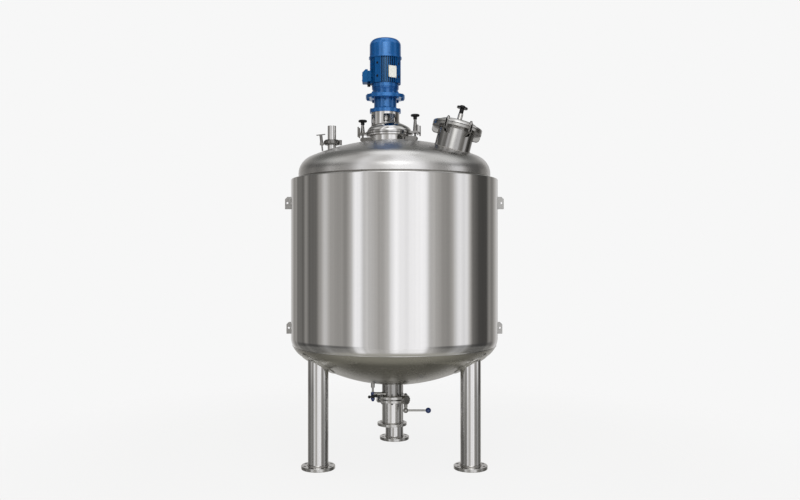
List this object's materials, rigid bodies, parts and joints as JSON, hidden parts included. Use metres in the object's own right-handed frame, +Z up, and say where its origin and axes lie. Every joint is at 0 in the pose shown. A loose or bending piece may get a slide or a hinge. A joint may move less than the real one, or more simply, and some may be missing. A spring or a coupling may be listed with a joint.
{
  "type": "alkali solution tank",
  "caption": "Jacketed stainless steel mixing tank with domed ends on three pipe legs, top-mounted agitator drive, hand hole, vent and bottom outlet valve.",
  "frame": {"origin": "on the floor under the tank's axis", "axes": "+Z up, -Y towards the front, +X to the right as seen from the front"},
  "size_m": [1.492, 1.4, 2.8505],
  "materials": {
    "jacket_steel": "brushed lengthwise, with bright and dark bands",
    "head_steel": "satin polished",
    "inner_steel": "satin",
    "leg_steel": "polished pipe",
    "flange_steel": "turned and polished",
    "polished_steel": "bright polished",
    "blue_paint": "gloss enamel",
    "black_plastic": "semi-matt moulded",
    "blue_plastic": "gloss moulded"
  },
  "bodies": {
    "tank": {"jacket_panel_1": "jacket_steel", "jacket_panel_2": "jacket_steel", "jacket_panel_3": "jacket_steel", "jacket_panel_4": "jacket_steel", "bottom_head": "head_steel", "top_head": "head_steel", "inner_vessel": "inner_steel", "leg_1": "leg_steel", "foot_flange_1": "flange_steel", "leg_2": "leg_steel", "foot_flange_2": "flange_steel", "leg_3": "leg_steel", "foot_flange_3": "flange_steel", "leg_pads": "head_steel", "neck": "polished_steel", "neck_lid": "polished_steel", "lantern": "polished_steel", "hatch_neck": "polished_steel", "hatch_lid": "polished_steel", "clamp_ears": "flange_steel", "hatch_flange": "flange_steel", "hatch_bolts": "flange_steel", "hatch_ears": "flange_steel", "vent_stub": "flange_steel", "vent_pipe": "flange_steel", "vent_clamp": "flange_steel", "vent_screw": "flange_steel", "side_lugs": "flange_steel", "outlet_valve": "flange_steel", "outlet_flange": "flange_steel", "valve_drive": "flange_steel", "valve_boss": "flange_steel", "sample_nipple": "flange_steel", "outlet_stub": "leg_steel", "outlet_pipe": "leg_steel", "gearbox": "blue_paint", "motor_end_bell": "blue_paint", "motor_housing": "blue_paint", "fan_cover": "blue_paint", "terminal_box": "blue_paint", "hatch_knob": "black_plastic", "sample_valve": "blue_plastic"},
    "agitator": {"agitator": "inner_steel"},
    "lever": {"outlet_lever": "flange_steel", "lever_ball": "blue_plastic"},
    "sample_wing": {"sample_handle": "black_plastic"},
    "clamp_left": {"clamp_bolt_left": "flange_steel", "clamp_knob_left": "black_plastic"},
    "clamp_right": {"clamp_bolt_right": "flange_steel", "clamp_knob_right": "black_plastic"}
  },
  "joints": [
    {"name": "agitator_spin", "type": "hinge", "parent": "tank", "child": "agitator", "pos_m": [-0.062, 0, 2], "axis": [0, 0, 1], "continuous": true},
    {"name": "lever_turn", "type": "hinge", "parent": "tank", "child": "lever", "pos_m": [0.07593, -0.07713, 0.336], "axis": [0, 0, 1], "range_deg": [-90, 0]},
    {"name": "sample_turn", "type": "hinge", "parent": "tank", "child": "sample_wing", "pos_m": [-0.146, -0.061, 0.42748], "axis": [0, -1, 0], "range_deg": [0, 90]},
    {"name": "clamp_left_swing", "type": "hinge", "parent": "tank", "child": "clamp_left", "pos_m": [-0.2172, 0.02575, 2.16916], "axis": [-0.1392, -0.9903, 0], "range_deg": [0, 90]},
    {"name": "clamp_right_swing", "type": "hinge", "parent": "tank", "child": "clamp_right", "pos_m": [0.13984, -0.06327, 2.16916], "axis": [0.342, 0.9397, 0], "range_deg": [0, 90]}
  ]
}
